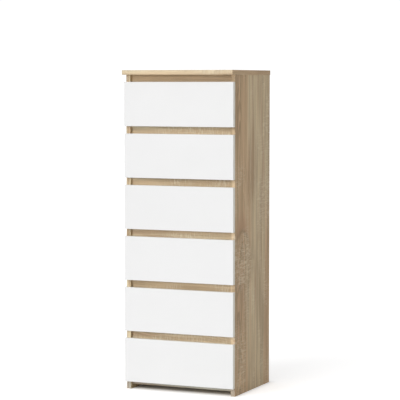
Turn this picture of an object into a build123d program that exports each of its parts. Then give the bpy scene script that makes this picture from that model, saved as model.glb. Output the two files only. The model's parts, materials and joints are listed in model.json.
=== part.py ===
from build123d import *
import os

# A tall chest of six drawers: board carcass, overlay fronts without handles, finger gaps
# with oak rails set back behind them, and drawers on roller runners.
# Millimetres, +Z up, fronts towards -Y, origin on the floor under the middle of the chest.

# Carcass
total_height = 1120.0
carcass_width = 412.0
side_depth = 320.0
board = 16.0
top_side_overhang = 2.0
top_front_overhang = 30.0
bottom_panel_z = 16.0
back_thickness = 3.0
back_inset = 2.0
edge_round = 0.8

# Fronts, finger gaps and rails
drawer_count = 6
front_height = 154.0
finger_gap = 25.5
first_finger_gap = 24.5
front_clearance = 0.5
rail_setback = 10.0
rail_lap = 9.75

# Drawer boxes
runner_space = 12.5
box_board = 12.0
box_length = 300.0
box_side_height = 118.0
bottom_thickness = 3.0
groove_height = 10.0
groove_width = 3.2
groove_depth = 6.0
bottom_in_groove = 5.5

# Roller runners. Across: distance from the side panel. Up: height above the running track.
track_above_front = 13.5
sheet = 1.2
channel_width = 10.3
channel_inside = 19.0
lip_outer_edge = 3.3
lip_underside = 21.0
box_lip_width = 10.0
cabinet_runner_setback = 2.0
drawer_runner_setback = 1.0
roller_radius = 9.0
roller_width = 7.2
roller_bore = 2.05
axle_radius = 2.0
axle_head_radius = 3.4
axle_step = 0.8
axle_play = 0.2
cabinet_roller_from_end = 14.0
cabinet_roller_up = 11.7
roller_cutout_spare = 3.5
drawer_roller_from_end = 11.0
drawer_roller_up = 9.3
drawer_travel = 225.0
stop_drop = 4.0
stop_margin = 0.3

# Cam fittings: cam in one board, bolt screwed into the other
cam_radius = 7.5
cam_depth = 12.5
cam_from_edge = 24.0
cam_clearance = 0.1
bolt_thread_radius = 2.45
bolt_thread = 11.0
bolt_body_radius = 3.0
bolt_neck_radius = 2.0
bolt_head_radius = 3.3
bolt_head = 3.0
bolt_channel_radius = 3.5
cam_slot_length = 7.5
cam_slot_width = 1.2
cam_slot_depth = 2.4
bolt_bore_radius = 3.5
pilot_radius = 2.5
fitting_inset = 40.0
rail_cam_up = 7.0

# Dowels
dowel_radius = 3.95
dowel_hole_radius = 4.0
dowel_in_face = 11.0
dowel_in_edge = 18.5
hole_spare = 0.5
dowel_inset = 75.0
rail_dowel_down = 11.0

# Runner screws and back nails
screw_head_radius = 3.3
screw_shank_radius = 1.7
screw_length = 12.0
screw_from_end = 37.0
screw_spacing = 96.0
screws_per_runner = 3
screw_up = 9.5
nail_radius = 0.7
nail_length = 20.0
nail_head_radius = 2.0
nail_head = 0.4
nails_up_each_side = 10
nails_across = 4

# Places that follow from the sizes above
side_height = total_height - board
inner_half = carcass_width / 2 - board
board_middle = carcass_width / 2 - board / 2
top_depth = side_depth + top_front_overhang
overall_depth = top_depth + back_thickness + nail_head
top_front_y = -overall_depth / 2
carcass_front_y = top_front_y + top_front_overhang
carcass_rear_y = carcass_front_y + side_depth
front_rear_y = carcass_front_y - front_clearance
rail_front_y = carcass_front_y + rail_setback
rail_rear_y = rail_front_y + board
drawer_pitch = front_height + finger_gap
highest_front_z = side_height - first_finger_gap - front_height
front_bottoms = [highest_front_z - number * drawer_pitch for number in range(drawer_count)]
tracks = [base + track_above_front for base in front_bottoms]
gap_bottoms = [base + front_height for base in front_bottoms]
gap_tops = [side_height] + front_bottoms[:-1]
bottom_middle_z = bottom_panel_z + board / 2

box_outer_half = inner_half - runner_space
box_inner_half = box_outer_half - box_board
box_rear_y = front_rear_y + box_length
fitting_ys = [carcass_front_y + fitting_inset, carcass_rear_y - fitting_inset]
dowel_ys = [carcass_front_y + dowel_inset, carcass_rear_y - dowel_inset]
cam_x = inner_half - cam_from_edge
cam_top_z = side_height - cam_from_edge

runner_front_y = carcass_front_y + cabinet_runner_setback
drawer_runner_front_y = front_rear_y + drawer_runner_setback
drawer_runner_rear_y = drawer_runner_front_y + box_length
cabinet_roller_y = runner_front_y + cabinet_roller_from_end
drawer_roller_y = drawer_runner_rear_y - drawer_roller_from_end
web_outer_x = -inner_half + runner_space - sheet

os.makedirs("parts", exist_ok=True)


# Round holes of one size and depth, sunk into the part being built
def drill(plane, points, radius, depth):
    with BuildSketch(plane) as outline:
        with Locations(*points):
            Circle(radius)
    extrude(outline.sketch, amount=-depth, mode=Mode.SUBTRACT)


# Top panel, drilled from below for the cam bolts and dowels
with BuildPart() as top_panel:
    with BuildSketch(Plane.XY.offset(side_height)):
        with Locations((0, top_front_y)):
            Rectangle(
                carcass_width + 2 * top_side_overhang,
                top_depth,
                align=(Align.CENTER, Align.MIN),
            )
    extrude(amount=board)
    fillet(top_panel.edges(), edge_round)
    underside = Plane.XY.offset(side_height).rotated((180, 0, 0))
    bolt_points = [(x, -y) for x in (-board_middle, board_middle) for y in fitting_ys]
    dowel_points = [(x, -y) for x in (-board_middle, board_middle) for y in dowel_ys]
    drill(underside, bolt_points, pilot_radius, bolt_thread + hole_spare)
    drill(underside, dowel_points, dowel_hole_radius, dowel_in_face + hole_spare)
top_panel.part.label = "top_panel"
export_step(top_panel.part, "parts/top_panel.step")

# Side panels, which stand on the floor. Cams hold the top, bolts take the bottom and rails.
rail_centres = [
    (max(low - rail_lap, 0) + min(high + rail_lap, side_height)) / 2
    for low, high in zip(gap_bottoms, gap_tops)
]
rail_middle_y = (rail_front_y + rail_rear_y) / 2
with BuildPart() as left_side_panel:
    with BuildSketch(Plane.XY):
        with Locations((-carcass_width / 2, carcass_front_y)):
            Rectangle(board, side_depth, align=(Align.MIN, Align.MIN))
    extrude(amount=side_height)
    front_face = left_side_panel.faces().sort_by(Axis.Y)[0]
    fillet(front_face.edges().filter_by(Axis.Z), edge_round)
    inner_face = Plane.YZ.offset(-inner_half)
    top_edge = Plane.XY.offset(side_height)
    drill(inner_face, [(y, cam_top_z) for y in fitting_ys], cam_radius + cam_clearance, cam_depth)
    drill(top_edge, [(-board_middle, y) for y in fitting_ys], bolt_bore_radius, cam_from_edge)
    drill(
        top_edge,
        [(-board_middle, y) for y in dowel_ys],
        dowel_hole_radius,
        dowel_in_edge + hole_spare,
    )
    bolt_points = [(y, bottom_middle_z) for y in fitting_ys]
    bolt_points += [(rail_middle_y, z + rail_cam_up) for z in rail_centres]
    drill(inner_face, bolt_points, pilot_radius, bolt_thread + hole_spare)
    dowel_points = [(y, bottom_middle_z) for y in dowel_ys]
    dowel_points += [(rail_middle_y, z - rail_dowel_down) for z in rail_centres]
    drill(inner_face, dowel_points, dowel_hole_radius, dowel_in_face + hole_spare)
left_side_panel.part.label = "left_side_panel"
export_step(left_side_panel.part, "parts/left_side_panel.step")

with BuildPart() as right_side_panel:
    mirror(left_side_panel.part, about=Plane.YZ)
right_side_panel.part.label = "right_side_panel"
export_step(right_side_panel.part, "parts/right_side_panel.step")

# Bottom panel between the sides, its front edge in line with the rails
with BuildPart() as bottom_panel:
    with BuildSketch(Plane.XY.offset(bottom_panel_z)):
        with Locations((0, rail_front_y)):
            Rectangle(
                2 * inner_half,
                side_depth - rail_setback,
                align=(Align.CENTER, Align.MIN),
            )
    extrude(amount=board)
    front_face = bottom_panel.faces().sort_by(Axis.Y)[0]
    fillet(front_face.edges().filter_by(Axis.X), edge_round)
    underside = Plane.XY.offset(bottom_panel_z).rotated((180, 0, 0))
    cam_points = [(x, -y) for x in (-cam_x, cam_x) for y in fitting_ys]
    drill(underside, cam_points, cam_radius + cam_clearance, cam_depth)
    for end in (Plane.YZ.offset(inner_half), Plane.YZ.offset(-inner_half).rotated((0, 0, 180))):
        along = end.x_dir.Y
        bolt_points = [(along * y, bottom_middle_z) for y in fitting_ys]
        dowel_points = [(along * y, bottom_middle_z) for y in dowel_ys]
        drill(end, bolt_points, bolt_bore_radius, cam_from_edge)
        drill(end, dowel_points, dowel_hole_radius, dowel_in_edge + hole_spare)
bottom_panel.part.label = "bottom_panel"
export_step(bottom_panel.part, "parts/bottom_panel.step")

# Rails behind the finger gaps, the first one under the top panel
for number, (low, high, centre) in enumerate(zip(gap_bottoms, gap_tops, rail_centres), start=1):
    rail_bottom = low - rail_lap
    rail_top = min(high + rail_lap, side_height)
    with BuildPart() as rail:
        with BuildSketch(Plane.XY.offset(rail_bottom)):
            with Locations((0, rail_front_y)):
                Rectangle(2 * inner_half, board, align=(Align.CENTER, Align.MIN))
        extrude(amount=rail_top - rail_bottom)
        front_face = rail.faces().sort_by(Axis.Y)[0]
        fillet(front_face.edges().filter_by(Axis.X), edge_round)
        rear_face = Plane.XZ.offset(-rail_rear_y).rotated((0, 0, 180))
        cam_points = [(x, centre + rail_cam_up) for x in (-cam_x, cam_x)]
        drill(rear_face, cam_points, cam_radius + cam_clearance, cam_depth)
        for end in (Plane.YZ.offset(inner_half), Plane.YZ.offset(-inner_half).rotated((0, 0, 180))):
            middle = end.x_dir.Y * rail_middle_y
            drill(end, [(middle, centre + rail_cam_up)], bolt_bore_radius, cam_from_edge)
            drill(
                end,
                [(middle, centre - rail_dowel_down)],
                dowel_hole_radius,
                dowel_in_edge + hole_spare,
            )
    rail.part.label = f"rail_{number}"
    export_step(rail.part, f"parts/rail_{number}.step")

# Hardboard back over the rear edges of the carcass
with BuildPart() as back_panel:
    with BuildSketch(Plane.XY.offset(bottom_panel_z + back_inset)):
        with Locations((0, carcass_rear_y)):
            Rectangle(
                carcass_width - 2 * back_inset,
                back_thickness,
                align=(Align.CENTER, Align.MIN),
            )
    extrude(amount=total_height - bottom_panel_z - 2 * back_inset)
back_panel.part.label = "back_panel"
export_step(back_panel.part, "parts/back_panel.step")

# Nails round the edge of the back
nail_profile = [
    (0, -nail_length),
    (nail_radius, -nail_length),
    (nail_radius, 0),
    (nail_head_radius, 0),
    (nail_head_radius, nail_head),
    (0, nail_head),
]
lowest_nail_z = bottom_middle_z
highest_nail_z = side_height + board / 2
nail_step_up = (highest_nail_z - lowest_nail_z) / (nails_up_each_side - 1)
nail_step_across = 2 * board_middle / (nails_across + 1)
nail_rows = [lowest_nail_z + nail_step_up * i for i in range(nails_up_each_side)]
nail_columns = [-board_middle + nail_step_across * i for i in range(1, nails_across + 1)]
nail_points = [(x, z) for x in (-board_middle, board_middle) for z in nail_rows]
nail_points += [(x, z) for x in nail_columns for z in (lowest_nail_z, highest_nail_z)]
with BuildPart(mode=Mode.PRIVATE) as nail:
    with BuildSketch(Plane.XZ):
        with BuildLine():
            Polyline(*nail_profile, close=True)
        make_face()
    revolve(axis=Axis.Z)
back_outside_y = carcass_rear_y + back_thickness
nail_places = [Plane((x, back_outside_y, z), z_dir=(0, 1, 0)) for x, z in nail_points]
with BuildPart() as back_nails:
    with Locations(*nail_places):
        add(nail.part)
back_nails.part.label = "back_nails"
export_step(back_nails.part, "parts/back_nails.step")

# Places of the cam fittings: each joint is the plane between its two boards,
# facing into the board that holds the cam, with the cam's face direction beside it
down = Vector(0, 0, -1)
rearward = Vector(0, 1, 0)
joints = []
for side in (-1, 1):
    inward = Vector(-side, 0, 0)
    for y in fitting_ys:
        joints.append((Vector(side * board_middle, y, side_height), down, inward))
        joints.append((Vector(side * inner_half, y, bottom_middle_z), inward, down))
    for centre in rail_centres:
        place = Vector(side * inner_half, rail_middle_y, centre + rail_cam_up)
        joints.append((place, inward, rearward))

# Cam lock: its face is at z = 0, its cross slot up, and the bolt comes in along +X
with BuildPart(mode=Mode.PRIVATE) as cam_lock:
    with BuildSketch(Plane.XY):
        Circle(cam_radius)
    extrude(amount=-cam_depth)
    with BuildSketch(Plane.YZ.offset(-bolt_head)):
        with Locations((0, -board / 2)):
            Circle(bolt_channel_radius)
    extrude(amount=cam_radius + bolt_head, mode=Mode.SUBTRACT)
    with BuildSketch(Plane.XY):
        Rectangle(cam_slot_length, cam_slot_width)
        Rectangle(cam_slot_width, cam_slot_length)
    extrude(amount=-cam_slot_depth, mode=Mode.SUBTRACT)
cam_places = [
    Plane(place + into * cam_from_edge + face * (board / 2), x_dir=into * -1, z_dir=face)
    for place, into, face in joints
]
with BuildPart() as cam_locks:
    with Locations(*cam_places):
        add(cam_lock.part)
cam_locks.part.label = "cam_locks"
export_step(cam_locks.part, "parts/cam_locks.step")

# Cam bolt: thread below z = 0, body, neck and head above it
bolt_end = cam_from_edge + bolt_head / 2
with BuildPart(mode=Mode.PRIVATE) as cam_bolt:
    with BuildSketch(Plane.XZ):
        with BuildLine():
            Polyline(
                (0, -bolt_thread),
                (bolt_thread_radius, -bolt_thread),
                (bolt_thread_radius, 0),
                (bolt_body_radius, 0),
                (bolt_body_radius, cam_from_edge - cam_radius),
                (bolt_neck_radius, cam_from_edge - cam_radius),
                (bolt_neck_radius, bolt_end - bolt_head),
                (bolt_head_radius, bolt_end - bolt_head),
                (bolt_head_radius, bolt_end),
                (0, bolt_end),
                close=True,
            )
        make_face()
    revolve(axis=Axis.Z)
with BuildPart() as cam_bolts:
    with Locations(*[Plane(place, z_dir=into) for place, into, face in joints]):
        add(cam_bolt.part)
cam_bolts.part.label = "cam_bolts"
export_step(cam_bolts.part, "parts/cam_bolts.step")

# Wooden dowels beside the cam fittings
with BuildPart(mode=Mode.PRIVATE) as dowel:
    with BuildSketch(Plane.XY.offset(-dowel_in_face)):
        Circle(dowel_radius)
    extrude(amount=dowel_in_face + dowel_in_edge)
    chamfer(dowel.edges().filter_by(GeomType.CIRCLE), edge_round)
dowel_places = []
for side in (-1, 1):
    for y in dowel_ys:
        dowel_places.append(Plane((side * board_middle, y, side_height), z_dir=(0, 0, -1)))
        dowel_places.append(Plane((side * inner_half, y, bottom_middle_z), z_dir=(-side, 0, 0)))
    for centre in rail_centres:
        place = (side * inner_half, rail_middle_y, centre - rail_dowel_down)
        dowel_places.append(Plane(place, z_dir=(-side, 0, 0)))
with BuildPart() as wood_dowels:
    with Locations(*dowel_places):
        add(dowel.part)
wood_dowels.part.label = "wood_dowels"
export_step(wood_dowels.part, "parts/wood_dowels.step")

# One left cabinet runner, its track at z = 0: a channel with a cut-away front end for
# its roller, a stop tab for the drawer's roller, and the roller's axle
roller_back_y = cabinet_roller_y + roller_radius + roller_cutout_spare
stop_reach = (roller_radius**2 - (channel_inside - stop_drop - drawer_roller_up) ** 2) ** 0.5
stop_y = drawer_roller_y - drawer_travel - stop_reach - stop_margin
screw_ys = [runner_front_y + screw_from_end + i * screw_spacing for i in range(screws_per_runner)]
left_wall = Plane.YZ.offset(-inner_half)
with BuildPart(mode=Mode.PRIVATE) as cabinet_runner:
    with BuildSketch(Plane.XZ.offset(-runner_front_y)):
        with BuildLine():
            Polyline(
                (-inner_half, -sheet),
                (-inner_half + channel_width, -sheet),
                (-inner_half + channel_width, 0),
                (-inner_half + sheet, 0),
                (-inner_half + sheet, channel_inside),
                (-inner_half + channel_width, channel_inside),
                (-inner_half + channel_width, channel_inside + sheet),
                (-inner_half, channel_inside + sheet),
                close=True,
            )
        make_face()
    extrude(amount=-box_length)
    with BuildSketch(left_wall.offset(sheet)):
        with Locations((runner_front_y, channel_inside)):
            Rectangle(roller_back_y - runner_front_y, 2 * sheet, align=(Align.MIN, Align.MIN))
    extrude(amount=channel_width, mode=Mode.SUBTRACT)
    with BuildSketch(left_wall.offset(sheet)):
        with Locations((stop_y, channel_inside - stop_drop)):
            Rectangle(sheet, stop_drop, align=(Align.MAX, Align.MIN))
    extrude(amount=channel_width - sheet)
    axle_point = (cabinet_roller_y, cabinet_roller_up)
    head_start = sheet + axle_step + roller_width + 2 * axle_play
    for start, radius, length in (
        (sheet, axle_head_radius, axle_step),
        (sheet, axle_radius, head_start - sheet),
        (head_start, axle_head_radius, axle_step),
    ):
        with BuildSketch(left_wall.offset(start)) as disc:
            with Locations(axle_point):
                Circle(radius)
        extrude(disc.sketch, amount=length)
    with Locations(*[Plane((-inner_half + sheet, y, screw_up), z_dir=(1, 0, 0)) for y in screw_ys]):
        CounterSinkHole(screw_shank_radius, screw_head_radius)
with BuildPart() as cabinet_runners_left:
    with Locations(*[(0, 0, track) for track in tracks]):
        add(cabinet_runner.part)
cabinet_runners_left.part.label = "cabinet_runners_left"
export_step(cabinet_runners_left.part, "parts/cabinet_runners_left.step")

with BuildPart() as cabinet_runners_right:
    mirror(cabinet_runners_left.part, about=Plane.YZ)
cabinet_runners_right.part.label = "cabinet_runners_right"
export_step(cabinet_runners_right.part, "parts/cabinet_runners_right.step")

# Countersunk screws through the cabinet runners, heads flush with the sheet
with BuildPart(mode=Mode.PRIVATE) as screw:
    with BuildSketch(Plane.XZ):
        with BuildLine():
            Polyline(
                (0, -screw_length),
                (screw_shank_radius, -screw_length + screw_shank_radius),
                (screw_shank_radius, screw_shank_radius - screw_head_radius),
                (screw_head_radius, 0),
                (0, 0),
                close=True,
            )
        make_face()
    revolve(axis=Axis.Z)
screw_places = [
    Plane((side * (inner_half - sheet), y, track + screw_up), z_dir=(-side, 0, 0))
    for side in (-1, 1)
    for track in tracks
    for y in screw_ys
]
with BuildPart() as runner_screws:
    with Locations(*screw_places):
        add(screw.part)
runner_screws.part.label = "runner_screws"
export_step(runner_screws.part, "parts/runner_screws.step")


# A left and a right roller on one line, each with its bore and rounded rim
def roller_pair(outer_x, y, z):
    with BuildPart(mode=Mode.PRIVATE) as left_roller:
        with BuildSketch(Plane.YZ.offset(outer_x)):
            with Locations((y, z)):
                Circle(roller_radius)
                Circle(roller_bore, mode=Mode.SUBTRACT)
        extrude(amount=roller_width)
        rim = left_roller.edges().filter_by(GeomType.CIRCLE).group_by(SortBy.RADIUS)[-1]
        fillet(rim, edge_round)
    with BuildPart(mode=Mode.PRIVATE) as pair:
        add(left_roller.part)
        mirror(left_roller.part, about=Plane.YZ)
    return pair.part


# The drawers, all alike, each at its own height
for number, (base, track) in enumerate(zip(front_bottoms, tracks), start=1):
    groove_z = track + groove_height

    # Front, grooved at the rear for the drawer bottom
    with BuildPart() as drawer_front:
        with BuildSketch(Plane.XY.offset(base)):
            with Locations((0, front_rear_y)):
                Rectangle(carcass_width, board, align=(Align.CENTER, Align.MAX))
        extrude(amount=front_height)
        fillet(drawer_front.edges(), edge_round)
        with BuildSketch(Plane.XY.offset(groove_z)):
            with Locations((0, front_rear_y)):
                Rectangle(
                    2 * (box_inner_half + groove_depth),
                    groove_depth,
                    align=(Align.CENTER, Align.MAX),
                )
        extrude(amount=groove_width, mode=Mode.SUBTRACT)
    drawer_front.part.label = f"drawer_{number}_front"
    export_step(drawer_front.part, f"parts/drawer_{number}_front.step")

    # Left and right sides, grooved for the drawer bottom
    with BuildPart() as drawer_sides:
        with BuildSketch(Plane.XY.offset(track)):
            with Locations((-box_outer_half, front_rear_y)):
                Rectangle(box_board, box_length, align=(Align.MIN, Align.MIN))
        extrude(amount=box_side_height)
        fillet(drawer_sides.faces().sort_by(Axis.Z)[-1].edges().filter_by(Axis.Y), edge_round)
        with BuildSketch(Plane.XY.offset(groove_z)):
            with Locations((-box_inner_half, front_rear_y)):
                Rectangle(groove_depth, box_length, align=(Align.MAX, Align.MIN))
        extrude(amount=groove_width, mode=Mode.SUBTRACT)
        mirror(about=Plane.YZ)
    drawer_sides.part.label = f"drawer_{number}_sides"
    export_step(drawer_sides.part, f"parts/drawer_{number}_sides.step")

    # Back between the sides, standing on the drawer bottom
    with BuildPart() as drawer_back:
        with BuildSketch(Plane.XY.offset(groove_z + groove_width)):
            with Locations((0, box_rear_y)):
                Rectangle(2 * box_inner_half, box_board, align=(Align.CENTER, Align.MAX))
        extrude(amount=box_side_height - groove_height - groove_width)
        fillet(drawer_back.faces().sort_by(Axis.Z)[-1].edges().filter_by(Axis.X), edge_round)
    drawer_back.part.label = f"drawer_{number}_back"
    export_step(drawer_back.part, f"parts/drawer_{number}_back.step")

    # Hardboard bottom in the grooves of the front and sides, running under the back
    with BuildPart() as drawer_bottom:
        with BuildSketch(Plane.XY.offset(groove_z + (groove_width - bottom_thickness) / 2)):
            with Locations((0, box_rear_y)):
                Rectangle(
                    2 * (box_inner_half + bottom_in_groove),
                    box_length + bottom_in_groove,
                    align=(Align.CENTER, Align.MAX),
                )
        extrude(amount=bottom_thickness)
    drawer_bottom.part.label = f"drawer_{number}_bottom"
    export_step(drawer_bottom.part, f"parts/drawer_{number}_bottom.step")

    # Drawer runners: a web on the side, a lip under it, and an outer lip that rides
    # on the cabinet roller, with the rear roller's axle
    with BuildPart() as drawer_runners:
        with BuildSketch(Plane.XZ.offset(-drawer_runner_front_y)):
            with BuildLine():
                Polyline(
                    (web_outer_x, track - sheet),
                    (-box_outer_half + box_lip_width, track - sheet),
                    (-box_outer_half + box_lip_width, track),
                    (-box_outer_half, track),
                    (-box_outer_half, track + lip_underside + sheet),
                    (-inner_half + lip_outer_edge, track + lip_underside + sheet),
                    (-inner_half + lip_outer_edge, track + lip_underside),
                    (web_outer_x, track + lip_underside),
                    close=True,
                )
            make_face()
        extrude(amount=-box_length)
        axle_point = (drawer_roller_y, track + drawer_roller_up)
        head_end = axle_step + roller_width + 2 * axle_play
        for start, radius, length in (
            (0, axle_head_radius, axle_step),
            (0, axle_radius, head_end),
            (head_end, axle_head_radius, axle_step),
        ):
            with BuildSketch(Plane.YZ.offset(web_outer_x - start)) as disc:
                with Locations(axle_point):
                    Circle(radius)
            extrude(disc.sketch, amount=-length)
        mirror(about=Plane.YZ)
    drawer_runners.part.label = f"drawer_{number}_runners"
    export_step(drawer_runners.part, f"parts/drawer_{number}_runners.step")

    # Rollers at the rear of the drawer and at the front of the cabinet
    rear_x = web_outer_x - axle_step - axle_play - roller_width
    with BuildPart() as drawer_rollers:
        add(roller_pair(rear_x, drawer_roller_y, track + drawer_roller_up))
    drawer_rollers.part.label = f"drawer_{number}_rollers"
    export_step(drawer_rollers.part, f"parts/drawer_{number}_rollers.step")

    front_x = -inner_half + sheet + axle_step + axle_play
    with BuildPart() as cabinet_rollers:
        add(roller_pair(front_x, cabinet_roller_y, track + cabinet_roller_up))
    cabinet_rollers.part.label = f"cabinet_rollers_{number}"
    export_step(cabinet_rollers.part, f"parts/cabinet_rollers_{number}.step")
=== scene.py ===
import json
import math

import bmesh
import bpy
from mathutils import Matrix, Vector

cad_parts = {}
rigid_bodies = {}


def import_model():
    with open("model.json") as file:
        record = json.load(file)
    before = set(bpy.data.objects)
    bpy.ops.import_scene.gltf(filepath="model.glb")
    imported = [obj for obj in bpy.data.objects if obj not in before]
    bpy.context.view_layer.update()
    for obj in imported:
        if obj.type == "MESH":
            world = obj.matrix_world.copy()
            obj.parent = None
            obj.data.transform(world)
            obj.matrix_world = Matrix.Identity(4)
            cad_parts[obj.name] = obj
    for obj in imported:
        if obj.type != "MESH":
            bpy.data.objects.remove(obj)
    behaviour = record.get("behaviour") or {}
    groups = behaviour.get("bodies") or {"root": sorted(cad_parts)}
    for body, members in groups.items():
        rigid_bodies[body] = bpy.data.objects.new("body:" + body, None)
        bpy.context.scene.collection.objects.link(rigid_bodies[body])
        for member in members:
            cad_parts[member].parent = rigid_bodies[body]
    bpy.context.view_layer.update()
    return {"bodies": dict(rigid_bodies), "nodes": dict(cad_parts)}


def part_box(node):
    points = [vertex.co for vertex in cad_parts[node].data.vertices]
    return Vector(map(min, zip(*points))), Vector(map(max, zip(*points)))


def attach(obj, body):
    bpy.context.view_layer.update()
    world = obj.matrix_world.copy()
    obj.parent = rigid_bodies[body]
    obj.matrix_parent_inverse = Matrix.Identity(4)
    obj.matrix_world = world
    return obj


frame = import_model()
drawers = sorted(name for name in frame["bodies"] if name.startswith("drawer_") and "rollers" not in name)
print("frame loaded,", len(frame["nodes"]), "nodes")


# A small kit for shader nodes. Most helpers add a node and hand back its output socket.

def plug(tree, socket, value):
    if isinstance(value, bpy.types.NodeSocket):
        tree.links.new(value, socket)
    elif value is not None:  # None leaves the socket's own value
        socket.default_value = value


def maths(tree, operation, *values):
    node = tree.nodes.new("ShaderNodeMath")
    node.operation = operation
    for socket, value in zip(node.inputs, values):
        plug(tree, socket, value)
    return node.outputs[0]


def vectorMaths(tree, operation, *values, output="Vector"):
    node = tree.nodes.new("ShaderNodeVectorMath")
    node.operation = operation
    for socket, value in zip(node.inputs, values):
        plug(tree, socket, value)
    return node.outputs[output]


def noise(tree, vector, stretch, detail=2.0, roughness=0.5, distortion=0.0):
    # stretch is how many features fit in a metre along each axis
    node = tree.nodes.new("ShaderNodeTexNoise")
    plug(tree, node.inputs["Vector"], vectorMaths(tree, "MULTIPLY", vector, stretch))
    node.inputs["Scale"].default_value = 1.0
    node.inputs["Detail"].default_value = detail
    node.inputs["Roughness"].default_value = roughness
    node.inputs["Distortion"].default_value = distortion
    return node.outputs["Fac"]


def span(tree, value, low, high, newLow=0.0, newHigh=1.0, smooth=True):
    node = tree.nodes.new("ShaderNodeMapRange")
    node.interpolation_type = "SMOOTHSTEP" if smooth else "LINEAR"
    for name, given in (("Value", value), ("From Min", low), ("From Max", high),
                        ("To Min", newLow), ("To Max", newHigh)):
        plug(tree, node.inputs[name], given)
    return node.outputs["Result"]


def fade(tree, value, low, high):
    return span(tree, value, low, high, 1.0, 0.0)


# One layer of a pattern. Its look is the stretch, detail and roughness of a noise,
# and the two levels of that noise between which the layer comes in.
def layer(tree, vector, look, shift=None):
    stretch, detail, roughness, low, high = look
    value = noise(tree, vector, stretch, detail, roughness)
    if shift is not None:
        value = maths(tree, "ADD", value, shift)
    return span(tree, value, low, high)


def blendColour(tree, factor, first, second, mode="MIX"):
    node = tree.nodes.new("ShaderNodeMix")
    node.data_type = "RGBA"
    node.blend_type = mode
    plug(tree, node.inputs[0], factor)
    plug(tree, node.inputs[6], first)
    plug(tree, node.inputs[7], second)
    return node.outputs[2]


def blendVector(tree, factor, first, second):
    node = tree.nodes.new("ShaderNodeMix")
    node.data_type = "VECTOR"
    plug(tree, node.inputs[0], factor)
    plug(tree, node.inputs[4], first)
    plug(tree, node.inputs[5], second)
    return node.outputs[1]


def split(tree, vector):
    node = tree.nodes.new("ShaderNodeSeparateXYZ")
    plug(tree, node.inputs[0], vector)
    return node.outputs[0], node.outputs[1], node.outputs[2]


def join(tree, x, y, z):
    node = tree.nodes.new("ShaderNodeCombineXYZ")
    for socket, value in zip(node.inputs, (x, y, z)):
        plug(tree, socket, value)
    return node.outputs[0]


def bump(tree, height, look):
    node = tree.nodes.new("ShaderNodeBump")
    node.inputs["Strength"].default_value = look["bumpStrength"]
    node.inputs["Distance"].default_value = look["bumpDepth"]
    plug(tree, node.inputs["Height"], height)
    return node.outputs["Normal"]


def newGroup(name, takes, gives):
    tree = bpy.data.node_groups.new(name, "ShaderNodeTree")
    for label, kind, value in takes:
        socket = tree.interface.new_socket(name=label, in_out="INPUT", socket_type="NodeSocket" + kind)
        if value is not None:
            socket.default_value = value
    for label, kind in gives:
        tree.interface.new_socket(name=label, in_out="OUTPUT", socket_type="NodeSocket" + kind)
    return tree, tree.nodes.new("NodeGroupInput").outputs, tree.nodes.new("NodeGroupOutput").inputs


def useGroup(tree, group, values):
    node = tree.nodes.new("ShaderNodeGroup")
    node.node_tree = group
    for label, value in values.items():
        plug(tree, node.inputs[label], value)
    return node.outputs


def newMaterial(name, **constants):
    material = bpy.data.materials.new(name)
    material.use_nodes = True
    shader = material.node_tree.nodes["Principled BSDF"]
    for label, value in constants.items():
        shader.inputs[label].default_value = value
    return material, material.node_tree, shader.inputs


def coordinates(tree):
    return tree.nodes.new("ShaderNodeTexCoord").outputs["Object"]


# Shared effects.

# The oak's layers, with stretches across, through and along the grain
figureLayers = {
    "zones": ((17.0, 17.0, 0.9), 2.0, 0.5, 0.42, 0.58),  # warm below the first level, pale above the second
    "ringPatches": ((12.0, 12.0, 2.2), 2.0, 0.5, 0.46, 0.62),
    "redStreaks": ((44.0, 44.0, 2.0), 2.0, 0.5, 0.53, 0.66),
    "streaks": ((64.0, 64.0, 1.7), 3.0, 0.62, 0.45, 0.64),
    "fineStreaks": ((190.0, 190.0, 4.0), 2.0, 0.55, 0.46, 0.66),
    "fibres": ((520.0, 520.0, 14.0), 3.0, 0.6, 0.38, 0.66),
    "pores": ((1500.0, 1500.0, 45.0), 2.0, 0.5, 0.60, 0.72),
    "barGaps": ((17.0, 17.0, 62.0), 2.0, 0.5, 0.42, 0.52),  # between the dark bars of the flame
    "coarseCuts": ((36.0, 36.0, 190.0), 2.0, 0.5, 0.50, 0.64),
    "fineCuts": ((70.0, 70.0, 620.0), 2.0, 0.5, 0.48, 0.62),
    "cutPatches": ((13.0, 13.0, 5.0), 2.0, 0.5, 0.44, 0.66),
}
# how strongly each layer tints the wood, in the order in which they are laid
layerDepths = {"redStreaks": 0.70, "rings": 0.60, "streaks": 0.45, "fineStreaks": 0.18, "fibres": 0.16,
               "pores": 0.35, "arches": 0.62, "overTip": 0.75, "saw": 0.40}
# the layers that don't tint with the board's dark colour
layerTints = {"redStreaks": (0.56, 0.345, 0.20, 1.0), "overTip": (0.53, 0.315, 0.175, 1.0),
              "saw": (0.90, 0.80, 0.60, 1.0)}
growthRings = {
    "wander": ((1.0, 1.0, 2.6), 1.0),  # noise that moves the heart along the board
    "wanderPlace": 3.0,
    "wanderWidth": 0.12,
    "bluntness": 0.00012,  # square metres: the larger, the blunter the arches' tips
    "perMetre": 42.0,
    "closing": 420.0,  # how fast the rings close up away from the heart
    "wobble": ((30.0, 30.0, 6.0), 3.0, 0.55),
    "wobbleSize": 2.2,
    "climb": 8.0,  # rings for each metre along the board
    "darkening": (0.25, 0.80),  # where in a ring the dark line comes in
    "ending": (0.88, 1.0),  # and where it goes out
}
# the fine cuts' strength, and how much the flame widens the patches and strengthens the marks
sawCuts = {"fineShare": 0.7, "flamePatches": 0.8, "flameGain": 0.9}
# roughness and relief of the layers
oakSurface = {"roughness": 0.50, "fibreRoughness": 0.10, "sawRoughness": 0.12,
              "poreHeight": -0.8, "fibreHeight": -0.35, "ringHeight": -0.25, "sawHeight": 0.5}


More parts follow.
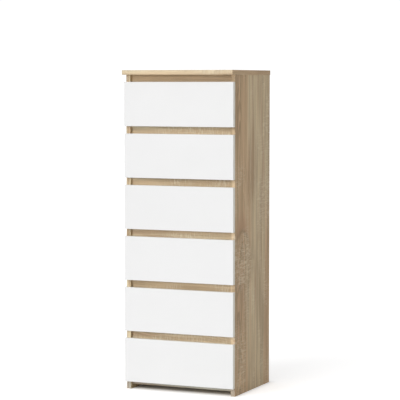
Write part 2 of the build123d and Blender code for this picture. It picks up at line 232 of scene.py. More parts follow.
# Dark lines of the growth rings, which close into arches along a wandering heart
def growthRingLines(tree, grain, heartPlace):
    across, along = split(tree, grain)[::2]
    wander = noise(tree, join(tree, 0.0, growthRings["wanderPlace"], along), *growthRings["wander"])
    heart = maths(tree, "MULTIPLY_ADD", maths(tree, "SUBTRACT", wander, 0.5),
                  growthRings["wanderWidth"], heartPlace)
    offHeart = maths(tree, "SUBTRACT", across, heart)
    spread = maths(tree, "SQRT", maths(tree, "MULTIPLY_ADD", offHeart, offHeart, growthRings["bluntness"]))
    curve = maths(tree, "MULTIPLY_ADD", spread, growthRings["closing"], growthRings["perMetre"])
    wobble = maths(tree, "SUBTRACT", noise(tree, grain, *growthRings["wobble"]), 0.5)
    rise = maths(tree, "MULTIPLY_ADD", wobble, growthRings["wobbleSize"],
                 maths(tree, "MULTIPLY", along, growthRings["climb"]))
    ringPlace = maths(tree, "FRACT", maths(tree, "MULTIPLY_ADD", spread, curve, rise))
    return maths(tree, "MULTIPLY", span(tree, ringPlace, *growthRings["darkening"]),
                 fade(tree, ringPlace, *growthRings["ending"]))


# Short lines across the grain, in patches, and more of them where the figure flames
def sawMarkLines(tree, masks, flame, amount):
    fine = maths(tree, "MULTIPLY", masks["fineCuts"], sawCuts["fineShare"])
    cuts = maths(tree, "MAXIMUM", masks["coarseCuts"], fine)
    saw = maths(tree, "MULTIPLY", maths(tree, "MULTIPLY", cuts, masks["cutPatches"]), amount)
    return maths(tree, "MULTIPLY", saw, maths(tree, "MULTIPLY_ADD", flame, sawCuts["flameGain"], 1.0))


# Sawn oak. The pattern space has X across the grain, Y through the board and Z along the grain.
def buildSawnOak():
    tree, takes, gives = newGroup(
        "sawnOakFigure",
        [("Grain", "Vector", None), ("Pale", "Color", (1, 1, 1, 1)), ("Warm", "Color", (1, 1, 1, 1)),
         ("Dark", "Color", (1, 1, 1, 1)), ("Lean", "Float", 0.0), ("Heart", "Float", 0.0),
         ("Flame", "Float", 0.0), ("Arch", "Float", 0.0), ("Over Tip", "Float", 0.0),
         ("Saw Marks", "Float", 1.0)],
        [("Color", "Color"), ("Roughness", "Float"), ("Height", "Float")],
    )
    grain, flame = takes["Grain"], takes["Flame"]
    shifts = {"zones": takes["Lean"], "ringPatches": flame,
              "cutPatches": maths(tree, "MULTIPLY", flame, sawCuts["flamePatches"])}
    masks = {name: layer(tree, grain, look, shifts.get(name)) for name, look in figureLayers.items()}
    ringLines = growthRingLines(tree, grain, takes["Heart"])
    bars = maths(tree, "MULTIPLY", maths(tree, "SUBTRACT", 1.0, masks["barGaps"]), flame)
    masks["rings"] = maths(tree, "MULTIPLY", ringLines, masks["ringPatches"])
    masks["saw"] = sawMarkLines(tree, masks, flame, takes["Saw Marks"])
    masks["arches"] = maths(tree, "ADD", bars, takes["Arch"])
    masks["overTip"] = takes["Over Tip"]

    colour = blendColour(tree, masks["zones"], takes["Warm"], takes["Pale"])
    for name, depth in layerDepths.items():
        strength = maths(tree, "MULTIPLY", masks[name], depth)
        colour = blendColour(tree, strength, colour, layerTints.get(name, takes["Dark"]))
    plug(tree, gives["Color"], colour)

    rough = maths(tree, "MULTIPLY_ADD", masks["fibres"],
                  oakSurface["fibreRoughness"], oakSurface["roughness"])
    rough = maths(tree, "MULTIPLY_ADD", masks["saw"], oakSurface["sawRoughness"], rough)
    plug(tree, gives["Roughness"], rough)
    height = maths(tree, "MULTIPLY", masks["fibres"], oakSurface["fibreHeight"])
    height = maths(tree, "MULTIPLY_ADD", masks["pores"], oakSurface["poreHeight"], height)
    height = maths(tree, "MULTIPLY_ADD", ringLines, oakSurface["ringHeight"], height)
    height = maths(tree, "MULTIPLY_ADD", masks["saw"], oakSurface["sawHeight"], height)
    plug(tree, gives["Height"], height)
    return tree


chipboardLook = {
    "light": (0.62, 0.46, 0.29, 1.0),
    "dark": (0.20, 0.12, 0.06, 1.0),
    "flakes": (420.0, 420.0, 420.0),
    "bend": (300.0, 300.0, 300.0),  # noise that bends the flakes' outlines
    "fine": ((1300.0, 1300.0, 1300.0), 3.0, 0.6),
    "fineShare": 0.5,
    "flakeShare": 0.6,
    "tones": (0.2, 0.9),
    "roughness": 0.78,
    "roughnessSpread": 0.12,
    "fineHeight": 0.6,
    "height": 1.5,
}


# Bare chipboard on the edges that have no band
def buildChipboard():
    tree, takes, gives = newGroup(
        "bareChipboard", [("Place", "Vector", None)],
        [("Color", "Color"), ("Roughness", "Float"), ("Height", "Float")],
    )
    look = chipboardLook
    bent = noise(tree, takes["Place"], look["bend"])
    scaled = vectorMaths(tree, "MULTIPLY", takes["Place"], look["flakes"])
    flakes = tree.nodes.new("ShaderNodeTexVoronoi")
    plug(tree, flakes.inputs["Vector"], vectorMaths(tree, "ADD", scaled, join(tree, bent, bent, bent)))
    flakes.inputs["Scale"].default_value = 1.0
    shade, tone = split(tree, flakes.outputs["Color"])[:2]
    fine = noise(tree, takes["Place"], *look["fine"])
    mix = maths(tree, "MULTIPLY_ADD", fine, look["fineShare"],
                maths(tree, "MULTIPLY", shade, look["flakeShare"]))
    colour = blendColour(tree, span(tree, mix, *look["tones"]), look["dark"], look["light"])
    rough = maths(tree, "MULTIPLY_ADD", tone, look["roughnessSpread"], look["roughness"])
    plug(tree, gives["Color"], colour)
    plug(tree, gives["Roughness"], rough)
    plug(tree, gives["Height"], maths(tree, "MULTIPLY_ADD", fine, look["fineHeight"], shade))
    return tree


edgeWear = {
    "bandThickness": 0.001,
    "reach": (0.0004, 0.0022),  # how far from the edge the rubbing stays full and where it ends
    "patches": ((60.0, 60.0, 60.0), 3.0, 0.6, 0.35, 0.75),
    "seamWidth": (0.00008, 0.00025),
}


# How near a point of a board is to one of the board's edges, from its box
def buildBoardEdges():
    tree, takes, gives = newGroup(
        "boardEdges",
        [("Place", "Vector", None), ("Centre", "Vector", (0, 0, 0)), ("Half Size", "Vector", (1, 1, 1))],
        [("Rub", "Float"), ("Seam", "Float")],
    )
    fromCentre = vectorMaths(tree, "SUBTRACT", takes["Place"], takes["Centre"])
    fromCentre = vectorMaths(tree, "ABSOLUTE", fromCentre)
    x, y, z = split(tree, vectorMaths(tree, "SUBTRACT", takes["Half Size"], fromCentre))
    lower = maths(tree, "MINIMUM", x, y)
    upper = maths(tree, "MAXIMUM", x, y)
    toEdge = maths(tree, "MAXIMUM", lower, maths(tree, "MINIMUM", upper, z))
    rub = fade(tree, toEdge, *edgeWear["reach"])
    patches = layer(tree, takes["Place"], edgeWear["patches"])
    plug(tree, gives["Rub"], maths(tree, "MULTIPLY", rub, patches))
    fromSeam = maths(tree, "ABSOLUTE", maths(tree, "SUBTRACT", toEdge, edgeWear["bandThickness"]))
    plug(tree, gives["Seam"], fade(tree, fromSeam, *edgeWear["seamWidth"]))
    return tree


skinLook = {
    "clouds": ((3.0, 3.0, 3.0), 3.0, 0.55, 0.3, 0.7),
    "smears": ((14.0, 14.0, 14.0), 4.0, 0.6, 0.6),
    "smearRoughness": 0.14,
    "gritDetail": 2.0,
}


# Melamine, lacquer, plastic and metal: hardly any colour, a fine grit and faint handling marks
def buildSkin():
    tree, takes, gives = newGroup(
        "fineSkin",
        [("Place", "Vector", None), ("Base", "Color", (1, 1, 1, 1)), ("Shade", "Color", (1, 1, 1, 1)),
         ("Gloss", "Float", 0.4), ("Grit", "Float", 900.0)],
        [("Color", "Color"), ("Roughness", "Float"), ("Height", "Float")],
    )
    clouds = layer(tree, takes["Place"], skinLook["clouds"])
    plug(tree, gives["Color"], blendColour(tree, clouds, takes["Base"], takes["Shade"]))
    smears = noise(tree, takes["Place"], *skinLook["smears"])
    rough = maths(tree, "MULTIPLY_ADD", smears, skinLook["smearRoughness"], takes["Gloss"])
    plug(tree, gives["Roughness"], rough)
    grit = tree.nodes.new("ShaderNodeTexNoise")
    plug(tree, grit.inputs["Vector"], takes["Place"])
    plug(tree, grit.inputs["Scale"], takes["Grit"])
    grit.inputs["Detail"].default_value = skinLook["gritDetail"]
    plug(tree, gives["Height"], grit.outputs["Fac"])
    return tree


sawnOakFigure = buildSawnOak()
bareChipboard = buildChipboard()
boardEdges = buildBoardEdges()
fineSkin = buildSkin()


def useSkin(tree, place, look):
    return useGroup(tree, fineSkin, {"Place": place, "Base": look["base"], "Shade": look["shade"],
                                     "Gloss": look["gloss"], "Grit": look["grit"]})


# Masks that follow a board's box.

faceReach = 0.00008  # how near its plane a point counts as on a face


def nodeBox(node):
    low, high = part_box(node)
    return (low + high) / 2, (high - low) / 2


# 1 on the named faces of a board, such as "+Y" for its rear edge
def faceMask(tree, axes, box, faces):
    centre, half = box
    mask = None
    for sign, letter in faces:
        index = "XYZ".index(letter)
        side = 1.0 if sign == "+" else -1.0
        face = side * (centre[index] + side * half[index])
        near = maths(tree, "GREATER_THAN", maths(tree, "MULTIPLY", axes[letter], side), face - faceReach)
        mask = near if mask is None else maths(tree, "MAXIMUM", mask, near)
    return mask


def useEdges(tree, place, box):
    return useGroup(tree, boardEdges, {"Place": place, "Centre": box[0], "Half Size": box[1]})


# Lays bare chipboard over a finish on the faces without a band
def bareFaces(tree, place, mask, colour, rough, height):
    chips = useGroup(tree, bareChipboard, {"Place": place})
    colour = blendColour(tree, mask, colour, chips["Color"])
    rougher = maths(tree, "SUBTRACT", chips["Roughness"], rough)
    rough = maths(tree, "ADD", rough, maths(tree, "MULTIPLY", mask, rougher))
    chipHeight = maths(tree, "MULTIPLY", chips["Height"], chipboardLook["height"])
    return colour, rough, maths(tree, "MULTIPLY_ADD", mask, chipHeight, height)


# Materials. Colours are linear.

oakLook = {
    "pale": (0.79, 0.635, 0.40, 1.0),
    "warm": (0.715, 0.497, 0.285, 1.0),
    "dark": (0.32, 0.205, 0.105, 1.0),
    "bandTone": (1.11, 1.21, 1.33, 1.0),  # the edge bands, rails and top come out paler than the sides
    "endTone": 0.15,  # how much of that the bands on the top's ends have
    "endBandShift": 3.0,  # the end bands are cut from another part of the figure
    "bumpStrength": 0.35,
    "bumpDepth": 0.00025,
    "seam": 0.45,
    "rub": 0.25,
    "paintedShadeTone": (0.66, 0.73, 0.88, 1.0),  # painted shade: front edges near the floor are darkened and greyed for the shade under the lowest front
    "paintedShadeHeights": (0.026, 0.040),  # full up to the first height, gone at the second
}
# how an arch of the figure is drawn, in parts of its half width and its drop
archShape = {
    "bend": ((45.0, 45.0, 16.0), 2.0),
    "bendAside": 0.7,
    "bendUnder": 0.9,
    "outline": (0.05, 0.6),
    "legs": (0.2, 1.9),
    "aboveTip": (-2.8, -0.3),
    "belowTip": (-0.3, 0.2),
    "besideTip": (0.3, 1.3),
}


# One arch of the figure, opening downwards: its dark outline and the brown wood above its tip
def archMasks(tree, place, arch):
    y, z = split(tree, place)[1:]
    bend = maths(tree, "SUBTRACT", noise(tree, place, *archShape["bend"]), 0.5)
    aside = maths(tree, "DIVIDE", maths(tree, "SUBTRACT", y, arch["tip"][0]), arch["halfWidth"])
    aside = maths(tree, "MULTIPLY_ADD", bend, archShape["bendAside"], aside)
    under = maths(tree, "DIVIDE", maths(tree, "SUBTRACT", arch["tip"][1], z), arch["drop"])
    inside = maths(tree, "SUBTRACT", under, maths(tree, "MULTIPLY", aside, aside))
    inside = maths(tree, "MULTIPLY_ADD", bend, archShape["bendUnder"], inside)
    outline = maths(tree, "MULTIPLY", fade(tree, maths(tree, "ABSOLUTE", inside), *archShape["outline"]),
                    fade(tree, under, *archShape["legs"]))
    overTip = maths(tree, "MULTIPLY", span(tree, inside, *archShape["aboveTip"]),
                    fade(tree, inside, *archShape["belowTip"]))
    besideTip = fade(tree, maths(tree, "ABSOLUTE", aside), *archShape["besideTip"])
    return outline, maths(tree, "MULTIPLY", overTip, besideTip)


# where the figure flames, strongest at one spot of the board
def flameMask(tree, place, flame):
    centre = Vector(flame["at"]) * Vector(flame["squeeze"])
    squeezed = vectorMaths(tree, "MULTIPLY", place, flame["squeeze"])
    distance = vectorMaths(tree, "DISTANCE", squeezed, centre, output="Value")
    return span(tree, distance, 0.0, 1.0, flame["most"], 0.0)


# how far the wood leans to its pale zones, falling off on both sides of the lightest line
def leanShift(tree, y, lean):
    fromLight = maths(tree, "ABSOLUTE", maths(tree, "SUBTRACT", y, lean["light"]))
    return maths(tree, "MULTIPLY_ADD", fromLight, -lean["fall"], lean["most"])


def makeOak(name, node, order, bare="", paler="all", endBands=False, paintedShadeNearFloor=False, sawMarks=1.0,
            heart=0.0, lean=None, flame=None, arch=None):
    material, tree, shader = newMaterial(name)
    place = coordinates(tree)
    axes = dict(zip("XYZ", split(tree, place)))
    box = nodeBox(node)
    grain = join(tree, *[axes[letter] for letter in order])
    toned = 1.0 if paler == "all" else faceMask(tree, axes, box, [paler])
    if endBands:
        # the band on an end runs along that end, not through the board
        onEnd = faceMask(tree, axes, box, ["+X", "-X"])
        band = join(tree, axes["Z"], axes["X"], maths(tree, "ADD", axes["Y"], oakLook["endBandShift"]))
        grain = blendVector(tree, onEnd, grain, band)
        toned = maths(tree, "MULTIPLY_ADD", onEnd, oakLook["endTone"] - 1.0, 1.0)
    outline, overTip = archMasks(tree, place, arch) if arch else (None, None)
    oak = useGroup(tree, sawnOakFigure, {
        "Grain": grain, "Pale": oakLook["pale"], "Warm": oakLook["warm"], "Dark": oakLook["dark"],
        "Heart": heart, "Saw Marks": sawMarks, "Arch": outline, "Over Tip": overTip,
        "Lean": leanShift(tree, axes["Y"], lean) if lean else None,
        "Flame": flameMask(tree, place, flame) if flame else None})
    edges = useEdges(tree, place, box)
    colour = blendColour(tree, toned, oak["Color"], oakLook["bandTone"], mode="MULTIPLY")
    # painted shade: darkens the front faces near the floor, standing in for the shade under the lowest front
    if paintedShadeNearFloor:
        nearFloor = fade(tree, axes["Z"], *oakLook["paintedShadeHeights"])
        paintedShade = maths(tree, "MULTIPLY", faceMask(tree, axes, box, ["-Y"]), nearFloor)
        colour = blendColour(tree, paintedShade, colour, oakLook["paintedShadeTone"], mode="MULTIPLY")
    seam = maths(tree, "MULTIPLY", edges["Seam"], oakLook["seam"])
    colour = blendColour(tree, seam, colour, oakLook["dark"])
    rub = maths(tree, "MULTIPLY", edges["Rub"], oakLook["rub"])
    colour = blendColour(tree, rub, colour, oakLook["pale"])
    height = maths(tree, "SUBTRACT", oak["Height"], edges["Seam"])
    rough = oak["Roughness"]
    if bare:
        mask = faceMask(tree, axes, box, bare.split())
        colour, rough, height = bareFaces(tree, place, mask, colour, rough, height)
    plug(tree, shader["Base Color"], colour)
    plug(tree, shader["Roughness"], rough)
    plug(tree, shader["Normal"], bump(tree, height, oakLook))
    return material


frontLook = {
    "base": (0.86, 0.86, 0.86, 1.0),
    "shade": (0.845, 0.845, 0.843, 1.0),
    "band": (0.92, 0.89, 0.80, 1.0),  # the edge band is creamier and paler than the face; the paleness is painted light that lifts the shaded side edges
    "gloss": 0.34,
    "grit": 1400.0,
    "bumpStrength": 0.12,
    "bumpDepth": 0.0001,
    "seamShade": (0.60, 0.585, 0.56, 1.0),
    "seam": 0.35,
    "seamHeight": -1.5,
    "rubRoughness": 0.1,
}


def makeWhiteFront(name, node):
    material, tree, shader = newMaterial(name)
    place = coordinates(tree)
    axes = dict(zip("XYZ", split(tree, place)))
    box = nodeBox(node)
    skin = useSkin(tree, place, frontLook)
    edges = useEdges(tree, place, box)
    banded = faceMask(tree, axes, box, ["+X", "-X", "+Z", "-Z"])
    # the edges take the band colour: a creamier band, with painted light on the shaded sides
    colour = blendColour(tree, banded, skin["Color"], frontLook["band"])
    seam = maths(tree, "MULTIPLY", edges["Seam"], frontLook["seam"])
    plug(tree, shader["Base Color"], blendColour(tree, seam, colour, frontLook["seamShade"]))
    rough = maths(tree, "MULTIPLY_ADD", edges["Rub"], frontLook["rubRoughness"], skin["Roughness"])
    plug(tree, shader["Roughness"], rough)
    height = maths(tree, "MULTIPLY_ADD", edges["Seam"], frontLook["seamHeight"], skin["Height"])
    plug(tree, shader["Normal"], bump(tree, height, frontLook))
    return material


# white drawer boards, bare on the named faces
boxLook = {"base": (0.82, 0.82, 0.81, 1.0), "shade": (0.80, 0.80, 0.785, 1.0), "gloss": 0.40, "grit": 1100.0,
           "bumpStrength": 0.15, "bumpDepth": 0.0001}


def makeBoxBoard(name, node, bare):
    material, tree, shader = newMaterial(name)
    place = coordinates(tree)
    axes = dict(zip("XYZ", split(tree, place)))
    skin = useSkin(tree, place, boxLook)
    mask = faceMask(tree, axes, nodeBox(node), bare.split())
    colour, rough, height = bareFaces(tree, place, mask, skin["Color"], skin["Roughness"], skin["Height"])
    plug(tree, shader["Base Color"], colour)
    plug(tree, shader["Roughness"], rough)
    plug(tree, shader["Normal"], bump(tree, height, boxLook))
    return material


# finishes that are the same on every face of a piece
finishes = {
    "coatedSteel": {"base": (0.80, 0.80, 0.78, 1), "shade": (0.77, 0.77, 0.745, 1), "gloss": 0.24,
                    "grit": 700.0, "metal": 0.0, "bumpStrength": 0.10, "bumpDepth": 0.0001},
    "rollerNylon": {"base": (0.74, 0.73, 0.69, 1), "shade": (0.68, 0.67, 0.63, 1), "gloss": 0.42,
                    "grit": 1600.0, "metal": 0.0, "bumpStrength": 0.12, "bumpDepth": 0.0001},
    "brightSteel": {"base": (0.62, 0.62, 0.60, 1), "shade": (0.50, 0.50, 0.48, 1), "gloss": 0.26,
                    "grit": 2200.0, "metal": 1.0, "bumpStrength": 0.20, "bumpDepth": 0.0001},
    "zincCasting": {"base": (0.52, 0.53, 0.54, 1), "shade": (0.40, 0.41, 0.42, 1), "gloss": 0.36,
                    "grit": 1800.0, "metal": 1.0, "bumpStrength": 0.30, "bumpDepth": 0.0001},
    "capPlastic": {"base": (0.80, 0.80, 0.79, 1), "shade": (0.77, 0.77, 0.755, 1), "gloss": 0.30,
                   "grit": 1500.0, "metal": 0.0, "bumpStrength": 0.10, "bumpDepth": 0.0001},
}


def makeFinish(name):
    look = finishes[name]
    material, tree, shader = newMaterial(name, Metallic=look["metal"])
    skin = useSkin(tree, coordinates(tree), look)
    plug(tree, shader["Base Color"], skin["Color"])
    plug(tree, shader["Roughness"], skin["Roughness"])
    plug(tree, shader["Normal"], bump(tree, skin["Height"], look))
    return material


# hardboard: white lacquer on one face, raw brown fibre on the other face and the edges
hardboardLook = {
    "base": (0.80, 0.80, 0.785, 1.0),
    "shade": (0.77, 0.77, 0.75, 1.0),
    "gloss": 0.40,
    "grit": 1000.0,
    "fibre": (0.36, 0.225, 0.125, 1.0),
    "fibreDark": (0.19, 0.11, 0.06, 1.0),
    "strands": ((420.0, 420.0, 420.0), 4.0, 0.65, 1.2),
    "strandShare": 0.85,
    "clouds": ((22.0, 22.0, 22.0), 3.0, 0.6),
    "cloudShare": 0.14,
    "tones": (0.30, 0.70),
    "fibreRoughness": 0.35,  # more than the lacquer's
    "bumpStrength": 0.25,
    "bumpDepth": 0.00015,
}


def makeHardboard(name, node, whiteFace):
    look = hardboardLook
    material, tree, shader = newMaterial(name)
    place = coordinates(tree)
    axes = dict(zip("XYZ", split(tree, place)))
    white = faceMask(tree, axes, nodeBox(node), [whiteFace])
    skin = useSkin(tree, place, look)
    strands = noise(tree, place, *look["strands"])
    clouds = noise(tree, place, *look["clouds"])
    mix = maths(tree, "MULTIPLY_ADD", clouds, look["cloudShare"],
                maths(tree, "MULTIPLY", strands, look["strandShare"]))
    fibre = blendColour(tree, span(tree, mix, *look["tones"]), look["fibreDark"], look["fibre"])
    plug(tree, shader["Base Color"], blendColour(tree, white, fibre, skin["Color"]))
    raw = maths(tree, "SUBTRACT", 1.0, white)
    rough = maths(tree, "MULTIPLY_ADD", raw, look["fibreRoughness"], skin["Roughness"])
    plug(tree, shader["Roughness"], rough)
    plug(tree, shader["Normal"], bump(tree, maths(tree, "ADD", strands, skin["Height"]), look))
    return material


beechLook = {
    "pale": (0.58, 0.39, 0.21, 1.0),
    "dark": (0.42, 0.26, 0.13, 1.0),
    "rays": ((180.0, 900.0, 900.0), 3.0, 0.6, 0.40, 0.66),
    "roughness": 0.55,
    "rayRoughness": 0.12,
    "bumpStrength": 0.3,
    "bumpDepth": 0.0002,
}


def makeBeech(name):
    material, tree, shader = newMaterial(name)
    rays = layer(tree, coordinates(tree), beechLook["rays"])
    plug(tree, shader["Base Color"], blendColour(tree, rays, beechLook["pale"], beechLook["dark"]))
    rough = maths(tree, "MULTIPLY_ADD", rays, beechLook["rayRoughness"], beechLook["roughness"])
    plug(tree, shader["Roughness"], rough)
    plug(tree, shader["Normal"], bump(tree, rays, beechLook))
    return material


def dress(node, material):
    for slot in frame["nodes"][node].material_slots:
        slot.material = material


# which object axes run across, through and along the grain of each kind of board
grainOrders = {"upright": "YXZ", "flat": "YZX", "rail": "ZYX"}
# each oak board: its grain, the faces left bare, and where its figure sits
oakBoards = {
    "top_panel": {"order": grainOrders["flat"], "bare": "+Y", "endBands": True, "heart": 0.02,
                  "sawMarks": 0.35},
    "left_side_panel": {"order": grainOrders["upright"], "bare": "+Y -Z +Z", "paler": "-Y", "heart": 0.03,
                        "paintedShadeNearFloor": True},
    "right_side_panel": {"order": grainOrders["upright"], "bare": "+Y -Z +Z", "paler": "-Y", "heart": -0.10,
                         "paintedShadeNearFloor": True,
                         "lean": {"light": 0.06, "fall": 2.8, "most": 0.24},
                         "flame": {"at": (0.206, -0.055, 0.455), "squeeze": (0.0, 7.5, 7.0), "most": 0.36},
                         "arch": {"tip": (-0.082, 0.568), "halfWidth": 0.052, "drop": 0.034}},
    "bottom_panel": {"order": grainOrders["flat"], "bare": "+Y", "heart": 0.05, "paintedShadeNearFloor": True},
}
railHearts = {"first": 0.05, "step": 0.01}
for number in range(len(drawers)):
    heart = railHearts["first"] + railHearts["step"] * number
    oakBoards[f"rail_{number + 1}"] = {"order": grainOrders["rail"], "heart": heart}
for node, board in oakBoards.items():
    dress(node, makeOak("sawnOak_" + node, node, **board))

plainFinishes = {name: makeFinish(name) for name in finishes}
plainFinishes["beech"] = makeBeech("beech")
plainNodes = {"back_nails": "brightSteel", "cam_locks": "zincCasting",
              "cam_bolts": "brightSteel", "wood_dowels": "beech", "runner_screws": "brightSteel",
              "cabinet_runners_left": "coatedSteel", "cabinet_runners_right": "coatedSteel"}
for node, finish in plainNodes.items():
    dress(node, plainFinishes[finish])
dress("back_panel", makeHardboard("hardboard_back_panel", "back_panel", "-Y"))
for drawer in drawers:
    dress(drawer + "_front", makeWhiteFront("whiteFront_" + drawer, drawer + "_front"))
    dress(drawer + "_sides", makeBoxBoard("boxBoard_" + drawer + "_sides", drawer + "_sides", "-Z +Y"))
    dress(drawer + "_back", makeBoxBoard("boxBoard_" + drawer + "_back", drawer + "_back", "-Z"))
    dress(drawer + "_bottom", makeHardboard("hardboard_" + drawer, drawer + "_bottom", "+Z"))
    dress(drawer + "_runners", plainFinishes["coatedSteel"])
    dress(drawer + "_rollers", plainFinishes["rollerNylon"])
    dress("cabinet_rollers_" + drawer.split("_")[1], plainFinishes["rollerNylon"])
print("materials on", len(frame["nodes"]), "nodes")


# Fittings of the drawer boxes, which move with each drawer.


def addObject(name, data):
    thing = bpy.data.objects.new(name, data)
    bpy.context.scene.collection.objects.link(thing)
    return thing


def finishPiece(mesh, name, body, finish):
    bmesh.ops.recalc_face_normals(mesh, faces=mesh.faces)
    data = bpy.data.meshes.new(name)
    mesh.to_mesh(data)
    mesh.free()
    data.materials.append(plainFinishes[finish])
    piece = addObject(name, data)
    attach(piece, body)


# puts vertices built round Z where they belong, with Z turned to the given direction
def standAt(mesh, verts, at, facing):
    turn = Vector((0, 0, 1)).rotation_difference(Vector(facing)).to_matrix().to_4x4()
    bmesh.ops.transform(mesh, matrix=Matrix.Translation(Vector(at)) @ turn, verts=verts)


mergeDistance = 1e-6


# a round fitting turned from a half outline of (radius, height) points
def turned(mesh, outline, at, facing, steps):
    before = set(mesh.verts)
    start = [mesh.verts.new((radius, 0.0, height)) for radius, height in outline]
    edges = [mesh.edges.new(pair) for pair in zip(start, start[1:])]
    bmesh.ops.spin(mesh, geom=start + edges, cent=(0, 0, 0), axis=(0, 0, 1), angle=2 * math.pi,
                   steps=steps, use_merge=True, dvec=(0, 0, 0))
    verts = [vert for vert in mesh.verts if vert not in before]
    bmesh.ops.remove_doubles(mesh, verts=verts, dist=mergeDistance)
    standAt(mesh, [vert for vert in mesh.verts if vert not in before], at, facing)


# snap-in covers over the cams that hold each front to its box
camCap = {
    "radius": 0.0085,
    "rise": 0.0010,
    "rim": 0.0004,
    "shoulder": 0.5,  # parts of the rise
    "crownRise": 1.15,
    "middleRise": 1.2,
    "crownRadius": 0.45,  # part of the radius
    "steps": 28,
    "fromFront": 0.024,
    "heights": (0.036, 0.092),
}


def makeCamCaps(drawer):
    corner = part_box(drawer + "_sides")[0]
    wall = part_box(drawer + "_back")[1].x  # inner face of the right side
    radius, rise = camCap["radius"], camCap["rise"]
    outline = [
        (radius, 0.0),
        (radius, rise * camCap["shoulder"]),
        (radius - camCap["rim"], rise),
        (radius * camCap["crownRadius"], rise * camCap["crownRise"]),
        (0.0, rise * camCap["middleRise"]),
    ]
    mesh = bmesh.new()
    for side in (-1, 1):
        for height in camCap["heights"]:
            at = (side * wall, corner.y + camCap["fromFront"], corner.z + height)
            turned(mesh, outline, at, (-side, 0, 0), camCap["steps"])
    finishPiece(mesh, "camCaps_" + drawer, drawer, "capPlastic")


def onlyEdges(items):
    return [item for item in items if isinstance(item, bmesh.types.BMEdge)]


# carries a loop of edges along Z and closes it at its new place
def pullAndClose(mesh, edges, distance):
    pulled = bmesh.ops.extrude_edge_only(mesh, edges=edges)["geom"]
    verts = [item for item in pulled if isinstance(item, bmesh.types.BMVert)]
    bmesh.ops.translate(mesh, verts=verts, vec=(0, 0, distance))
    bmesh.ops.contextual_create(mesh, geom=onlyEdges(pulled))


# a round screw head with a socket of a few corners, whose underside is sunk into the board
def socketHead(mesh, look, at, facing):
    before = set(mesh.verts)
    loops = []
    for segments, radius in ((look["segments"], look["radius"]), (look["corners"], look["socket"])):
        loop = bmesh.ops.create_circle(mesh, segments=segments, radius=radius, cap_ends=False)["verts"]
        bmesh.ops.translate(mesh, verts=loop, vec=(0, 0, look["rise"]))
        loops.append(list({edge for vert in loop for edge in vert.link_edges}))
    rimEdges, holeEdges = loops
    bmesh.ops.bridge_loops(mesh, edges=rimEdges + holeEdges)
    pullAndClose(mesh, holeEdges, -look["socketDepth"])
    pullAndClose(mesh, rimEdges, -look["rise"] - look["sunk"])
    standAt(mesh, [vert for vert in mesh.verts if vert not in before], at, facing)


# screws through the sides into the back, with a hexagon socket
boxScrew = {
    "radius": 0.0035,
    "rise": 0.0005,
    "sunk": 0.0006,
    "segments": 24,
    "socket": 0.0019,
    "corners": 6,
    "socketDepth": 0.0022,
    "heights": (0.040, 0.095),
    "fromRear": 0.006,
}


def makeBoxScrews(drawer):
    low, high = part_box(drawer + "_sides")
    mesh = bmesh.new()
    for side in (-1, 1):
        for height in boxScrew["heights"]:
            at = (side * high.x, high.y - boxScrew["fromRear"], low.z + height)
            socketHead(mesh, boxScrew, at, (side, 0, 0))
    finishPiece(mesh, "boxScrews_" + drawer, drawer, "brightSteel")


# flat screws up through the lip of each drawer runner
lipScrew = {
    "radius": 0.0030,
    "rise": 0.0009,
    "sunk": 0.0006,
    "segments": 24,
    "socket": 0.0013,
    "corners": 4,
    "socketDepth": 0.0012,
    "inset": 0.0060,
    "alongRunner": (0.037, 0.150, 0.262),
}


def makeLipScrews(drawer):
    low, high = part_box(drawer + "_sides")
    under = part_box(drawer + "_runners")[0].z
    mesh = bmesh.new()
    for side in (-1, 1):
        for along in lipScrew["alongRunner"]:
            at = (side * (high.x - lipScrew["inset"]), low.y + along, under)
            socketHead(mesh, lipScrew, at, (0, 0, -1))
    finishPiece(mesh, "lipScrews_" + drawer, drawer, "brightSteel")


# nails up through the hardboard bottom into the back
bottomNail = {
    "radius": 0.0019,
    "rise": 0.0004,
    "shoulder": 0.6,  # part of the rise
    "flat": 0.8,  # part of the radius
    "steps": 16,
    "count": 3,
    "fromRear": 0.006,
}


def makeBottomNails(drawer):
    low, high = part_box(drawer + "_bottom")
    radius, rise = bottomNail["radius"], bottomNail["rise"]
    outline = [
        (radius, 0.0),
        (radius, rise * bottomNail["shoulder"]),
        (radius * bottomNail["flat"], rise),
        (0.0, rise),
    ]
    mesh = bmesh.new()
    for number in range(bottomNail["count"]):
        x = low.x + (high.x - low.x) * (number + 0.5) / bottomNail["count"]
        at = (x, high.y - bottomNail["fromRear"], low.z)
        turned(mesh, outline, at, (0, 0, -1), bottomNail["steps"])
    finishPiece(mesh, "bottomNails_" + drawer, drawer, "brightSteel")


for drawer in drawers:
    makeCamCaps(drawer)
    makeBoxScrews(drawer)
    makeLipScrews(drawer)
    makeBottomNails(drawer)
print("fittings on", len(drawers), "drawers")


# The room: a pale floor, a white surround and soft light from far away.

room = {
    "floorSize": 60.0,
    "floorColour": (0.90, 0.90, 0.90, 1.0),
    "floorRoughness": 0.9,
    "floorSpecular": 0.1,
    "floorGlow": 0.49,  # seen by the camera only, so the far floor goes to white
    "glowColour": (1.0, 1.0, 1.0, 1.0),
    "paintedShadowUnderChest": (0.206, 0.025, 0.155),  # half width, middle and half depth of the floor that has no glow: a painted shadow under the chest
    "paintedShadowEdge": (-0.03, 0.03),  # where the glow comes in, from that outline, so the painted shadow fades out round the base
    "surroundColour": (1.0, 1.0, 1.0, 1.0),
    "surround": 0.30,
    "backdrop": 1.05,
}


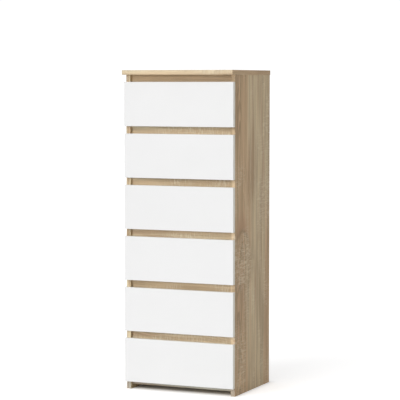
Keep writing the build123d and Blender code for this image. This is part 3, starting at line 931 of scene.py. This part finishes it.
def makeFloor():
    mesh = bmesh.new()
    bmesh.ops.create_grid(mesh, x_segments=1, y_segments=1, size=room["floorSize"] / 2)
    data = bpy.data.meshes.new("floor")
    mesh.to_mesh(data)
    mesh.free()
    material, tree, shader = newMaterial("paleFloor", Roughness=room["floorRoughness"])
    shader["Base Color"].default_value = room["floorColour"]
    shader["Specular IOR Level"].default_value = room["floorSpecular"]
    shader["Emission Color"].default_value = room["glowColour"]
    # the glow is left out under the chest and fades in round it, a painted contact shadow on the floor
    x, y = split(tree, coordinates(tree))[:2]
    halfWidth, middle, halfDepth = room["paintedShadowUnderChest"]
    fromMiddle = maths(tree, "ABSOLUTE", maths(tree, "SUBTRACT", y, middle))
    besideX = maths(tree, "SUBTRACT", maths(tree, "ABSOLUTE", x), halfWidth)
    besideY = maths(tree, "SUBTRACT", fromMiddle, halfDepth)
    outsidePaintedShadow = span(tree, maths(tree, "MAXIMUM", besideX, besideY), *room["paintedShadowEdge"])
    glow = maths(tree, "MULTIPLY", outsidePaintedShadow, room["floorGlow"])
    seen = tree.nodes.new("ShaderNodeLightPath").outputs["Is Camera Ray"]
    plug(tree, shader["Emission Strength"], maths(tree, "MULTIPLY", seen, glow))
    data.materials.append(material)
    floor = addObject("floor", data)


def makeSurround():
    world = bpy.data.worlds.new("whiteRoom")
    bpy.context.scene.world = world
    world.use_nodes = True
    tree = world.node_tree
    light = tree.nodes["Background"]
    seen = tree.nodes.new("ShaderNodeLightPath").outputs["Is Camera Ray"]
    light.inputs["Color"].default_value = room["surroundColour"]
    strength = span(tree, seen, 0.0, 1.0, room["surround"], room["backdrop"], smooth=False)
    plug(tree, light.inputs["Strength"], strength)


# the direction towards a side of the room: degrees round from the front, and up from the floor
def directionTo(azimuth, elevation):
    azimuth, elevation = math.radians(azimuth), math.radians(elevation)
    return Vector((math.sin(azimuth) * math.cos(elevation), -math.cos(azimuth) * math.cos(elevation),
                   math.sin(elevation)))


# soft suns: the side each shines from, its spread and its strength
suns = {
    "overhead": {"azimuth": 0.0, "elevation": 78.0, "spread": 100.0, "strength": 0.85},
    "keyLeft": {"azimuth": -20.0, "elevation": 22.0, "spread": 45.0, "strength": 1.58},
}
sunDistance = 5.0  # only for finding them in the viewport


def makeSun(name):
    sun = suns[name]
    lamp = bpy.data.lights.new(name, "SUN")
    lamp.energy = sun["strength"]
    lamp.angle = math.radians(sun["spread"])
    toSun = directionTo(sun["azimuth"], sun["elevation"])
    light = addObject(name, lamp)
    light.location = toSun * sunDistance
    light.rotation_euler = (-toSun).to_track_quat("-Z", "Y").to_euler()


shot = {
    "target": (0.07525, -0.1467, 0.6741),
    "azimuth": 23.75,
    "elevation": 3.897,
    "distance": 5.902,
    "lens": 154.47,
    "sensor": 36.0,
}


def makeCamera():
    back = directionTo(shot["azimuth"], shot["elevation"])
    data = bpy.data.cameras.new("camera")
    data.lens = shot["lens"]
    data.sensor_width = shot["sensor"]
    camera = addObject("camera", data)
    camera.location = Vector(shot["target"]) + back * shot["distance"]
    camera.rotation_euler = (-back).to_track_quat("-Z", "Y").to_euler()
    bpy.context.scene.camera = camera


makeFloor()
makeSurround()
for name in suns:
    makeSun(name)
makeCamera()
bpy.context.scene.view_settings.view_transform = "Standard"
print("room, lights and camera ready")
